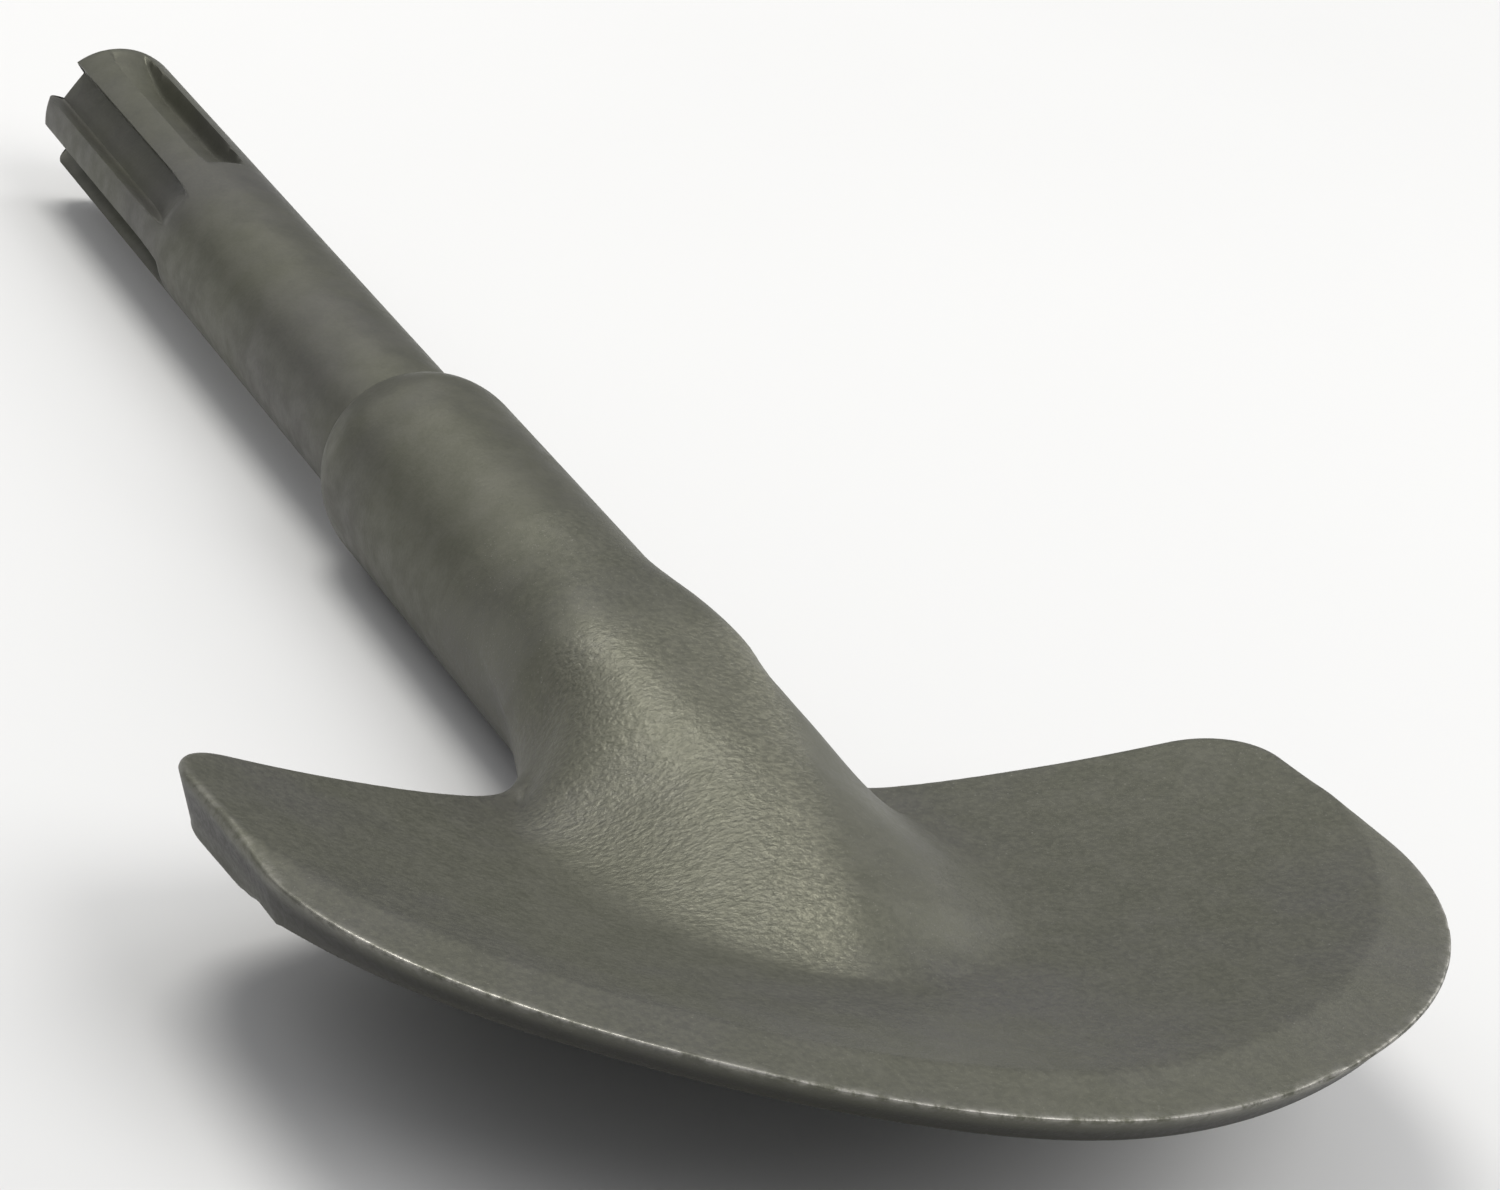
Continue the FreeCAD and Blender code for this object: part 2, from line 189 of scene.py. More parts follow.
# ---- forged skin with its painted highlight, relief, wear and painted shade -------------
SKIN_START = 155.0            # the forged skin fades in along the neck
SKIN_FULL = 163.0
HIGHLIGHT_EDGE_X = 191.0               # the painted highlight's right edge slants across the frog through this point
HIGHLIGHT_EDGE_Y = 3.0
HIGHLIGHT_EDGE_SLANT = 0.3
HIGHLIGHT_OFFSET = 2.5            # the painted highlight's brightest line lies this far to the left of that edge
HIGHLIGHT_WIDTH = 4.5
HIGHLIGHT_SHARE = 0.6             # of the skin's strength goes to the painted highlight band; the rest is even
DULL_SHARE = 0.8              # and this much of the skin, with its lighter colour, is lost on the right flank past that edge
PEBBLE_STRETCH = (0.95, 0.6, 0.8)
RELIEF = 0.05                 # height of the pebbles and of the plate's slow swells
SWELL_SCALE = 0.07
NICK_DEPTH = 0.25             # small nicks in the cutting edge
NICK_SCALE = 0.25
NICK_THRESHOLD = 0.28
BORDER_WEAR = 0.25
UNDER_SHADE_SHARE = 0.3             # how dark the painted shade on the plate's underside is, against the face under its edge


def smooth_step(low, high, value):
    u = np.clip((value - low) / (high - low), 0.0, 1.0)
    return u * u * (3.0 - 2.0 * u)


def smooth_positive(value, softness):
    return 0.5 * (value + np.hypot(value, softness))


def smooth_min(a, b, softness):
    return 0.5 * (a + b - np.hypot(a - b, softness))


def mix(a, b, weight):
    return a + (b - a) * weight


# ---- blade: heights over the plan ---------------------------------------------------------
def dish(x, y):
    """Height of the blade's hollow face, before the bevel and the frog."""
    along = x - DISH_ORIGIN
    forward = smooth_positive(along + FLATTENING_LEAD, FLATTENING_LEAD)
    height = DISH_HEIGHT + DISH_SLOPE * along + DISH_LENGTHWISE * along * along
    return height + DISH_CROSSWISE * y * y - WING_FLATTENING * forward * y ** 4


def ridge(x):
    """Height of the frog's spine on the centre line."""
    u = np.clip((x - SPINE_START) / (FROG_END - SPINE_START), 0.0, SPINE_LIMIT)
    return NECK_RADIUS - (NECK_RADIUS - FROG_END_HEIGHT) * u ** SPINE_EXPONENT


def frog_half_width(x):
    """Half the frog's width at its foot; on the neck it is the bar's own radius."""
    width = NECK_RADIUS + SWELL * smooth_step(SWELL_START, FROG_ROOT, x)
    width = mix(width, FROG_HALF_WIDTH, smooth_step(FROG_ROOT, FLARE_END, x))
    u = np.clip((x - FROG_WIDEST) / FROG_TOE, 0.0, TOE_LIMIT)
    return width * np.sqrt(1.0 - u * u)


def hollow_face(x, y):
    """Upper face: the round neck that turns into the frog, which stands on the dish."""
    base = smooth_step(BASE_START, BASE_END, x)
    rise = ridge(x) - base * dish(x, 0.0 * x)
    rise = mix(rise, smooth_positive(rise, RISE_SOFTNESS), base)
    rise = rise * (1.0 - smooth_step(TOE_FADE_START, TOE_FADE_END, x))
    box = 2.0 + (BOX_EXPONENT - 2.0) * smooth_step(SWELL_START, BOX_END, x)
    box = mix(box, TOE_EXPONENT, smooth_step(FROG_ROOT, FLANK_HOLLOW, x))
    flank = mix(0.5, 1.0, smooth_step(FLANK_START, FLANK_STRAIGHT, x))
    flank = mix(flank, FLANK_EXPONENT, smooth_step(FLANK_STRAIGHT - FLANK_OVERLAP, FLANK_HOLLOW, x))
    s = np.minimum(np.abs(y) / frog_half_width(x), 1.0)
    return base * dish(x, y) + rise * (1.0 - s ** box) ** flank


def underside(x, y):
    """The plate's lower face, with a keel under the neck."""
    keel = smooth_positive(dish(x, 0.0 * x) - PLATE + NECK_RADIUS, KEEL_SOFTNESS)
    keel = keel * (1.0 - smooth_step(KEEL_FADE_START, KEEL_END, x))
    spread = smooth_step(SPINE_START, KEEL_SPREAD_END, x)
    half_width = mix(KEEL_HALF_WIDTH, FROG_HALF_WIDTH, spread)
    s = np.minimum(np.abs(y) / half_width, 1.0)
    return dish(x, y) - PLATE - keel * (1.0 - s * s) ** 2


# ---- blade: plan outline --------------------------------------------------------------------
def arc_points(centre, radius, first, last, steps):
    angles = np.radians(np.linspace(first, last, steps + 1))
    return np.column_stack((centre[0] + radius * np.cos(angles), centre[1] + radius * np.sin(angles)))


def side_border():
    """Right-hand border from the loft's end to the front end of the straight side."""
    lean = math.hypot(1.0, BACK_SWEEP)
    tilt = math.degrees(math.atan(BACK_SWEEP))
    root_y = NECK_RADIUS + SWELL + ROOT_FILLET
    root = (BACK_EDGE + BACK_SWEEP * (root_y - BACK_EDGE_Y) - ROOT_FILLET * lean, root_y)
    corner_y = HALF_WIDTH - CORNER_RADIUS
    corner = (BACK_EDGE + BACK_SWEEP * (corner_y - BACK_EDGE_Y) + CORNER_RADIUS * lean, corner_y)
    fillet = arc_points(root, ROOT_FILLET, -90.0, -tilt, 48)
    rounding = arc_points(corner, CORNER_RADIUS, 180.0 - tilt, 90.0, 32)
    neck_x = np.linspace(LOFT_END, fillet[0, 0], 8)[:-1]
    neck = np.column_stack((neck_x, frog_half_width(neck_x)))
    return np.vstack((neck, fillet, rounding, [(SIDE_END, HALF_WIDTH)]))


def across_ratio(angle):
    """Distance from the axis, over the half width, along the cutting edge's curve."""
    exponent = 2.0 / NOSE_EXPONENT
    sine = np.sin(angle)
    spread = (sine ** 2 + SPREAD_FLOOR) / (1.0 + SPREAD_FLOOR)
    return sine * spread ** (0.5 * (exponent - 1.0))


def edge_x(angle, fraction):
    """Plan curves from the bevel's inner border, at 0, to the cutting edge, at 1."""
    side = mix(BEVEL_START, SIDE_END, fraction)
    nose = mix(BEVEL_NOSE, NOSE, fraction)
    exponent = mix(BEVEL_EXPONENT, 2.0 / NOSE_EXPONENT, fraction)
    return mix(side, nose, np.maximum(np.cos(angle), 0.0) ** exponent)


def resample(points, step):
    lengths = np.hypot(*np.diff(points, axis=0).T)
    travelled = np.concatenate(([0.0], np.cumsum(lengths)))
    count = max(int(round(travelled[-1] / step)), 1)
    wanted = np.linspace(0.0, travelled[-1], count + 1)
    return np.column_stack([np.interp(wanted, travelled, points[:, k]) for k in (0, 1)])


def border():
    """The blade's border in plan, from the right side of the neck round the nose to the left."""
    right = resample(side_border(), BORDER_STEP)
    angles = np.linspace(0.5 * math.pi, 0.0, 400)
    half = np.column_stack((edge_x(angles, 1.0), HALF_WIDTH * across_ratio(angles)))
    edge = resample(half, BORDER_STEP)
    loop = np.vstack((right[:-1], edge))
    return np.vstack((loop, loop[-2::-1] * (1.0, -1.0)))


def bevel_fraction(x, y):
    """0 behind the bevel's inner border, 1 at the cutting edge."""
    table = np.linspace(0.0, 0.5 * math.pi, 600)
    angle = np.interp(np.abs(y) / HALF_WIDTH, across_ratio(table), table)
    low = np.zeros_like(x)
    high = np.ones_like(x)
    for _ in range(22):
        middle = 0.5 * (low + high)
        inside = edge_x(angle, middle) < x
        low = np.where(inside, middle, low)
        high = np.where(inside, high, middle)
    fraction = np.where(x > edge_x(angle, 0.0 * x), 0.5 * (low + high), 0.0)
    return fraction, angle


def edge_rounding(x):
    """Rounding radius of the border's edges: none on the neck, most at the back, least in front."""
    back = BACK_ROUNDING * smooth_step(LOFT_END, LOFT_END + ROUNDING_REACH, x)
    return mix(back, EDGE_ROUNDING, smooth_step(BEVEL_START, SIDE_END, x))


def rounding_drop(distance, radius):
    radius = np.maximum(radius, TINY)
    inner = np.clip(radius - distance, 0.0, radius)
    return radius - np.sqrt(radius ** 2 - inner ** 2)


def neck_sheet(limit, x):
    return np.radians(mix(limit, 90.0, smooth_step(BLADE_JOINT, ROUND_END, x)))


def upper_sheet(x, y, distance):
    fraction, angle = bevel_fraction(x, y)
    taken = fraction * mix(SIDE_BEVEL_DROP, BEVEL_DROP, np.maximum(np.cos(angle), 0.0) ** BEVEL_TAPER)
    return hollow_face(x, y) - taken - rounding_drop(distance, edge_rounding(x))


def lower_sheet(x, y, distance, limit_y):
    """Lower point under plan point (x, y); limit_y is the border's y at that x, for the neck."""
    t = np.arcsin(np.clip(y / limit_y, -1.0, 1.0)) / (0.5 * math.pi)
    weight = smooth_step(PLATE_START, PLATE_END, x)
    fraction, angle = bevel_fraction(x, y)
    front = smooth_step(FRONT_LEAN_START, NOSE, x) * np.maximum(np.cos(angle), 0.0)
    low_x = x - FRONT_LEAN * front
    low_y = y * (1.0 - SIDE_LEAN / HALF_WIDTH * weight)
    at_side = np.clip(angle / (0.5 * math.pi), 0.0, 1.0) ** EDGE_FACE_POWER
    ground = upper_sheet(x, y, distance + PAST_ROUNDING) - mix(EDGE_FACE, EDGE_FACE_AT_SIDE, at_side)
    plate = mix(underside(low_x, low_y), ground, fraction)
    plate = plate + rounding_drop(distance, edge_rounding(x) * weight)
    angle = np.radians(NECK_SHEET_ANGLE * t)
    bar = np.column_stack((x, NECK_RADIUS * np.sin(angle), -NECK_RADIUS * np.cos(angle)))
    blade = np.column_stack((low_x, low_y, plate))
    return bar + (blade - bar) * weight[:, None]


# ---- mesh helpers ---------------------------------------------------------------------------
def make_object(name, points, faces, material, sharp_degrees=SHARP_EDGE):
    """An object from points in millimetres, smooth except across edges sharper than the limit."""
    mesh = bpy.data.meshes.new(name)
    mesh.from_pydata((np.asarray(points) * MM).tolist(), [], faces)
    solid = bmesh.new()
    solid.from_mesh(mesh)
    bmesh.ops.recalc_face_normals(solid, faces=solid.faces)
    for face in solid.faces:
        face.smooth = True
    for edge in solid.edges:
        if edge.calc_face_angle(0.0) > math.radians(sharp_degrees):
            edge.smooth = False
    solid.to_mesh(mesh)
    solid.free()
    piece = bpy.data.objects.new(name, mesh)
    bpy.context.scene.collection.objects.link(piece)
    mesh.materials.append(material)
    return piece


def mesh_points(mesh):
    return np.array([tuple(v.co) for v in mesh.vertices]) / MM


def add_attribute(piece, name, values):
    layer = piece.data.attributes.new(name, "FLOAT", "POINT")
    layer.data.foreach_set("value", np.asarray(values, dtype=np.float32))


def bridge(first, second, closed=True):
    """Quads between two rows of vertex numbers of the same length."""
    count = len(first)
    last = count if closed else count - 1
    return [(first[k], first[(k + 1) % count], second[(k + 1) % count], second[k]) for k in range(last)]


def finish_piece(piece, node):
    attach(piece, "root")
    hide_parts(node)


# ---- drive shank ------------------------------------------------------------------------------
def runout(x, end):
    """Height gained by a slot's floor where the cutter came out, near the slot's end."""
    top = 1.0 + SLOT_DEPTH
    rise = math.sqrt(RUNOUT_RADIUS ** 2 - (RUNOUT_RADIUS - top) ** 2)
    inside = min(max(x - (end - rise), 0.0), RUNOUT_RADIUS - 0.01)
    return RUNOUT_RADIUS - math.sqrt(RUNOUT_RADIUS ** 2 - inside ** 2)


def slot_floor(x, closed):
    depth = LOCK_DEPTH if closed else SLOT_DEPTH
    height = runout(x, LOCK_END if closed else SLOT_LENGTH)
    if closed:
        height += runout(LOCK_START + LOCK_END - x, LOCK_END)
    return SHANK_RADIUS - depth + height


def slot_section(x, closed):
    """Points (across, height) of a drive slot's section in its own frame."""
    steps = np.linspace(-1.0, 1.0, SECTION_POINTS)
    across = np.sign(steps) * SECTION_HALF_WIDTH * np.abs(steps) ** SECTION_CROWDING
    round_bar = np.sqrt(SHANK_RADIUS ** 2 - across ** 2)
    wall = np.maximum(np.abs(across) - SLOT_FLOOR_HALF_WIDTH, 0.0) / SLOT_DRAFT
    channel = slot_floor(x, closed) + SLOT_WALL_RISE * wall ** 2
    cut = round_bar - channel
    softness = SLOT_EDGE_SOFTNESS * (LOCK_SOFTER if closed else 1.0)
    softness = softness * smooth_step(SOFTNESS_GONE, SOFTNESS_FULL, cut) + TINY
    height = smooth_min(round_bar, channel, softness)
    full_from = SECTION_HALF_WIDTH - SECTION_BLEND
    return across, mix(round_bar, height, smooth_step(SECTION_HALF_WIDTH, full_from, np.abs(across)))


def shank_ring(x):
    features = sorted([(a, False) for a in SLOT_ANGLES] + [(a, True) for a in LOCK_ANGLES])
    half_span = math.degrees(math.asin(SECTION_HALF_WIDTH / SHANK_RADIUS))
    points = []
    for k, (angle, closed) in enumerate(features):
        across, height = slot_section(x, closed)
        turn = math.radians(angle)
        y = height * math.cos(turn) - across * math.sin(turn)
        z = height * math.sin(turn) + across * math.cos(turn)
        points += list(zip(y, z))
        following = features[(k + 1) % len(features)][0] + (360.0 if k == len(features) - 1 else 0.0)
        first = angle + half_span
        last = following - half_span
        steps = max(int((last - first) / 2.0), 2)
        for degrees in np.linspace(first, last, steps + 1)[1:-1]:
            a = math.radians(degrees)
            points.append((SHANK_RADIUS * math.cos(a), SHANK_RADIUS * math.sin(a)))
    points = np.array(points)
    inside = max(RIM_ROUNDING - x, 0.0)
    limit = SHANK_RADIUS - RIM_ROUNDING + math.sqrt(RIM_ROUNDING ** 2 - inside ** 2)
    radius = np.hypot(points[:, 0], points[:, 1])
    return points * np.minimum(limit / radius, 1.0)[:, None]


def lathe(rings, name, material):
    """A closed solid from rings (x, points): quads between rings and flat ends."""
    count = len(rings[0][1])
    points = []
    faces = []
    for k, (x, ring) in enumerate(rings):
        points += [(x, y, z) for y, z in ring]
        if k:
            row = list(range(k * count, (k + 1) * count))
            faces += bridge([v - count for v in row], row)
    faces.append(tuple(range(count)))
    faces.append(tuple(range(len(points) - count, len(points))))
    return make_object(name, points, faces, material)


def drive_shank(material):
    rim = RIM_ROUNDING * (1.0 - np.cos(np.linspace(0.0, 0.5 * math.pi, 7)))
    slots = np.arange(RIM_ROUNDING, SLOT_LENGTH + 3.0, 0.6)[1:]
    plain = np.linspace(SLOT_LENGTH + 3.5, SHANK_LENGTH, 40)
    struck_end = [(0.0, shank_ring(0.0) * scale) for scale in np.linspace(0.05, 0.95, 10)]
    rings = [(float(x), shank_ring(float(x))) for x in np.concatenate((rim, slots, plain))]
    piece = lathe(struck_end + rings, "drive_shank_body", material)
    points = mesh_points(piece.data)
    x = points[:, 0]
    radius = np.hypot(points[:, 1], points[:, 2])
    rim_wear = smooth_step(2.2, 0.3, x) * smooth_step(6.0, 8.2, radius)
    add_attribute(piece, "wear", rim_wear * RIM_WEAR)
    finish_piece(piece, "drive_shank")


# ---- neck bar -----------------------------------------------------------------------------------
def neck_radius(x):
    """One large radius from the sharp shoulder corner, tangent to the bar."""
    step = NECK_RADIUS - SHANK_RADIUS
    radius = (SHOULDER_LENGTH ** 2 + step ** 2) / (2.0 * step)
    back = max(SHANK_LENGTH + SHOULDER_LENGTH - x, 0.0)
    return NECK_RADIUS - radius + math.sqrt(radius ** 2 - back ** 2)


def neck_bar(material):
    shoulder = SHANK_LENGTH + SHOULDER_LENGTH * np.linspace(0.0, 1.0, 25)
    bar = np.linspace(SHANK_LENGTH + SHOULDER_LENGTH, BLADE_JOINT, 30)[1:]
    turn = np.linspace(0.0, 2.0 * math.pi, 181)[:-1]
    circle = np.column_stack((np.cos(turn), np.sin(turn)))
    rings = [(float(x), circle * neck_radius(float(x))) for x in np.concatenate((shoulder, bar))]
    piece = lathe(rings, "neck_bar_body", material)
    add_attribute(piece, "wear", np.zeros(len(piece.data.vertices)))
    finish_piece(piece, "neck_bar")


# ---- scoop blade ----------------------------------------------------------------------------------
def distance_to_line(points, line):
    """Distance of each point to a polyline, both in plan."""
    best = np.full(len(points), np.inf)
    for a, b in zip(line[:-1], line[1:]):
        ab = b - a
        t = np.clip(((points - a) @ ab) / (ab @ ab), 0.0, 1.0)
        best = np.minimum(best, np.hypot(*(points - a - t[:, None] * ab).T))
    return best


def offset_inwards(line, distance):
    ahead = np.gradient(line, axis=0)
    normal = np.column_stack((ahead[:, 1], -ahead[:, 0]))
    normal /= np.hypot(*normal.T)[:, None]
    moved = line + normal * distance
    for end in (0, -1):
        moved[end] = (line[end, 0], line[end, 1] - math.copysign(distance, line[end, 1]))
    return moved


def inner_points(line):
    """Points inside the border: a fine triangular grid on the frog, a coarser one elsewhere."""
    clear = BORDER_ROWS[-1]
    kept = []
    for step, fine in ((FINE_STEP, True), (PLAIN_STEP, False)):
        xs = np.arange(LOFT_END + 0.5, NOSE, step * ROW_HEIGHT)
        ys = np.arange(-HALF_WIDTH, HALF_WIDTH, step)
        gx, gy = np.meshgrid(xs, ys, indexing="ij")
        gy = gy + 0.5 * step * (np.arange(len(xs)) % 2)[:, None]
        grid = np.column_stack((gx.ravel(), gy.ravel()))
        off_axis = np.abs(grid[:, 1])
        on_frog = off_axis < frog_half_width(grid[:, 0]) + FROG_MARGIN_Y
        on_frog &= grid[:, 0] < FROG_END + FROG_MARGIN_X
        grid = grid[(on_frog == fine) & (off_axis < border_y(grid[:, 0], line))]
        kept.append(grid[distance_to_line(grid, line) > clear + GRID_CLEARANCE * step])
    return np.vstack(kept)


def border_y(x, line):
    """The border's outermost |y| at a station x."""
    half = line[: len(line) // 2 + 1]
    widest = int(np.argmax(half[:, 1]))
    rear = np.interp(x, half[: widest + 1, 0], half[: widest + 1, 1])
    front = np.interp(x, half[widest:, 0], half[widest:, 1])
    return np.where(x < half[widest, 0], rear, front)


def plan_mesh():
    """Triangles of the blade's plan beyond the loft, and the vertices of its border and rear."""
    line = border()
    rows = [offset_inwards(line, d) for d in BORDER_ROWS]
    end_y = rows[-1][0, 1]
    steps = int(2.0 * end_y / FINE_STEP)
    end_points = [(LOFT_END, y) for y in np.linspace(-end_y, end_y, steps + 1)[1:-1]]
    points = np.vstack(rows + [np.array(end_points), inner_points(line)])
    count = len(line)
    edges = []
    for r in range(len(rows)):
        edges += [(r * count + k, r * count + k + 1) for k in range(count - 1)]
    left = [r * count + count - 1 for r in range(len(rows))]
    right = [r * count for r in range(len(rows))]
    middle = list(range(len(rows) * count, len(rows) * count + len(end_points)))
    rear = left + middle + right[::-1]
    outer = list(range(count)) + rear[1:-1]
    flat = [Vector(p) for p in points]
    made = geometry.delaunay_2d_cdt(flat, edges, [outer], 1, MERGE_DISTANCE)
    plan = np.array([tuple(v) for v in made[0]])
    old = {}
    for new, originals in enumerate(made[3]):
        for number in originals:
            old[number] = new
    faces = [tuple(f) for f in made[2]]
    border_ids = [old[k] for k in range(count)]
    rear_ids = [old[k] for k in rear]
    return plan, faces, border_ids, rear_ids, line


def surface_noise(points, scale, seed):
    shift = Vector((seed * 17.3, seed * 5.1, seed * 9.7))
    return np.array([noise.noise(Vector(p) * scale + shift) for p in points])


def blade_section(x, sines):
    """Upper and lower points of the lofted neck at station x, for given sines across."""
    half = frog_half_width(np.array([x]))[0]
    limit = neck_sheet(NECK_SHEET_ANGLE, np.array([x]))[0]
    angle = np.arcsin(sines) * limit / (0.5 * math.pi)
    y = half * np.sin(angle)
    station = np.full_like(y, x)
    upper = np.column_stack((station, y, hollow_face(station, y)))
    lower = lower_sheet(station, sines * half, np.full_like(y, 10.0), np.full_like(y, half))
    return upper, lower


def wall_column(top, bottom, x):
    """Points of the border wall between its edges; on the neck it bulges to the round bar."""
    w = np.linspace(0.0, 1.0, WALL_ROWS + 1)[1:-1, None]
    limit = math.radians(90.0 - NECK_SHEET_ANGLE)
    bulge = NECK_RADIUS * (np.cos(limit * (1.0 - 2.0 * w)) - math.cos(limit))
    bulge = bulge * (1.0 - smooth_step(BLADE_JOINT, ROUND_END, x)) * np.sign(top[1])
    return top + (bottom - top) * w + bulge * np.array([[0.0, 1.0, 0.0]])


def blade_mesh():
    """Vertices and faces of the blade, and its border in plan."""
    plan, plan_faces, rim, rear, line = plan_mesh()
    x = plan[:, 0]
    y = plan[:, 1]
    distance = np.minimum(distance_to_line(plan, line), 50.0)
    limit_y = np.where(x < PLATE_END + 2.0, border_y(x, line), 1e3)
    upper = np.column_stack((x, y, upper_sheet(x, y, distance)))
    lower = lower_sheet(x, y, distance, np.maximum(limit_y, np.abs(y)))
    count = len(plan)
    points = [upper, lower]
    faces = list(plan_faces)
    faces += [tuple(v + count for v in reversed(face)) for face in plan_faces]
    total = 2 * count
    columns = []
    for v in rim:
        made = wall_column(upper[v], lower[v], x[v])
        columns.append([v] + list(range(total, total + len(made))) + [v + count])
        points.append(made)
        total += len(made)
    for a, b in zip(columns[:-1], columns[1:]):
        faces += bridge(a, b, closed=False)
    ring = rear + columns[0][1:-1] + [v + count for v in reversed(rear)] + columns[-1][-2:0:-1]
    sines = y[rear] / frog_half_width(np.array([LOFT_END]))[0]
    sines = np.clip(sines, -1.0, 1.0)
    for station in np.linspace(LOFT_END, BLADE_JOINT, LOFT_STATIONS)[1:]:
        top, bottom = blade_section(station, sines)
        right = wall_column(top[-1], bottom[-1], station)
        left = wall_column(top[0], bottom[0], station)
        made = np.vstack((top, right, bottom[::-1], left[::-1]))
        following = list(range(total, total + len(made)))
        faces += bridge(ring, following)
        points.append(made)
        total += len(made)
        ring = following
    faces.append(tuple(ring))
    return np.vstack(points), faces, line


def skin_and_highlight_mask(points):
    """Forged skin on the frog and its painted highlight: 1 in a band just left of the slanting highlight
    edge, lower on the rest of the skin and on the right flank past that edge, falling to 0 on the neck and
    the plate.
    """
    x = points[:, 0]
    y = points[:, 1]
    s = np.abs(y) / (frog_half_width(x) + 1.0)
    along = smooth_step(SKIN_START, SKIN_FULL, x)
    along = along * (1.0 - smooth_step(FROG_END - 6.0, FROG_END + 8.0, x))
    upper = smooth_step(-6.0, -1.0, points[:, 2] - dish(x, y))
    # the painted highlight's right edge; past it the skin and its lighter colour fade on the right flank
    highlight_edge = HIGHLIGHT_EDGE_Y - HIGHLIGHT_EDGE_SLANT * (x - HIGHLIGHT_EDGE_X)
    one_sided = 1.0 - DULL_SHARE * smooth_step(highlight_edge - 4.0, highlight_edge + 2.0, y)
    # painted highlight: a band that lifts the mask, and so the lighter skin grey, just left of that edge
    highlight_band = np.exp(-((y - highlight_edge + HIGHLIGHT_OFFSET) / HIGHLIGHT_WIDTH) ** 2)
    painted_highlight = 1.0 - HIGHLIGHT_SHARE + HIGHLIGHT_SHARE * highlight_band
    return along * (1.0 - smooth_step(0.75, 1.15, s)) * upper * one_sided * painted_highlight


def relax_roots(mesh, line):
    """Evens out the two root notches, where the neck's rings meet the plate's wall."""
    points = mesh_points(mesh)
    off = np.hypot(points[:, 0] - ROOT_CENTRE, 2.0 * distance_to_line(points[:, :2], line))
    off[np.abs(points[:, 1]) < ROOT_MIN_Y] = np.inf
    shape = bmesh.new()
    shape.from_mesh(mesh)
    shape.verts.ensure_lookup_table()
    for reach in np.linspace(*ROOT_REACH, ROOT_ROUNDS):
        chosen = [shape.verts[int(k)] for k in np.nonzero(off < reach)[0]]
        bmesh.ops.smooth_vert(shape, verts=chosen, factor=0.5,
                              use_axis_x=True, use_axis_y=True, use_axis_z=True)
    shape.to_mesh(mesh)
    shape.free()


def skin_relief(points, skin_and_highlight):
    """Height of the forged pebbles and of the plate's slow swells."""
    stretched = points * PEBBLE_STRETCH
    pebbles = np.zeros(len(points))
    some = skin_and_highlight > 0.01
    pebbles[some] = surface_noise(stretched[some], 1.0, 1) + 0.5 * surface_noise(stretched[some], 2.1, 2)
    swells = surface_noise(points, SWELL_SCALE, 3)
    plate = smooth_step(BLADE_JOINT + 2.0, LOFT_END, points[:, 0])
    return RELIEF * skin_and_highlight * pebbles + RELIEF * plate * swells


def edge_nicks(points, angle, at_edge):
    """Moves that cut small nicks into the cutting edge, inwards and down."""
    depth = np.maximum(surface_noise(points * (NICK_SCALE, NICK_SCALE, 0.0), 1.0, 4) - NICK_THRESHOLD, 0.0)
    side = np.sign(points[:, 1])
    inward = np.column_stack((-np.cos(angle), -np.sin(angle) * side, np.full_like(angle, -0.8)))
    return inward * (at_edge * depth * NICK_DEPTH)[:, None]


def blade_masks(piece, x, fraction, angle, outer, height, at_edge):
    """Where the blade is ground, where it is worn bright, and where painted shade darkens it underneath;
    outer and height are from the border's edge.
    """
    wall = (outer < 0.02) & (height < -0.3)
    ground = np.where(wall, 0.0, smooth_step(0.0, 0.12, fraction)) * (height > -1.5)
    border_edge = smooth_step(1.3, 0.3, np.hypot(outer, height)) * smooth_step(164.0, 172.0, x)
    in_front = smooth_step(0.02, 0.35, np.cos(angle))
    near_edge = UNDER_SHADE_SHARE + (1.0 - UNDER_SHADE_SHARE) * smooth_step(3.0, 0.5, outer)
    # painted shade: darkens the plate's underside and, most, the face under its cutting edge
    painted_under_shade = smooth_step(-0.3, -2.5, height) * smooth_step(164.0, 174.0, x) * near_edge
    add_attribute(piece, "ground", ground)
    add_attribute(piece, "wear", np.maximum(at_edge * in_front, BORDER_WEAR * border_edge))
    add_attribute(piece, "painted_under_shade", painted_under_shade)


def scoop_blade(material):
    points, faces, line = blade_mesh()
    piece = make_object("scoop_blade_body", points, faces, material, BLADE_SHARP_EDGE)
    mesh = piece.data
    relax_roots(mesh, line)
    points = mesh_points(mesh)
    normals = np.array([tuple(v.normal) for v in mesh.vertices])
    x = points[:, 0]
    y = points[:, 1]
    skin_and_highlight = skin_and_highlight_mask(points)
    fraction, angle = bevel_fraction(x, y)
    outer = distance_to_line(points[:, :2], line)
    height = points[:, 2] - upper_sheet(x, y, outer + PAST_ROUNDING)
    at_edge = (fraction > 0.6) * smooth_step(0.4, 0.12, np.hypot(outer, height))
    moved = points + normals * skin_relief(points, skin_and_highlight)[:, None] + edge_nicks(points, angle, at_edge)
    mesh.vertices.foreach_set("co", (moved * MM).ravel())
    mesh.update()
    add_attribute(piece, "skin_and_highlight", skin_and_highlight)
    blade_masks(piece, x, fraction, angle, outer, height, at_edge)
    finish_piece(piece, "scoop_blade")


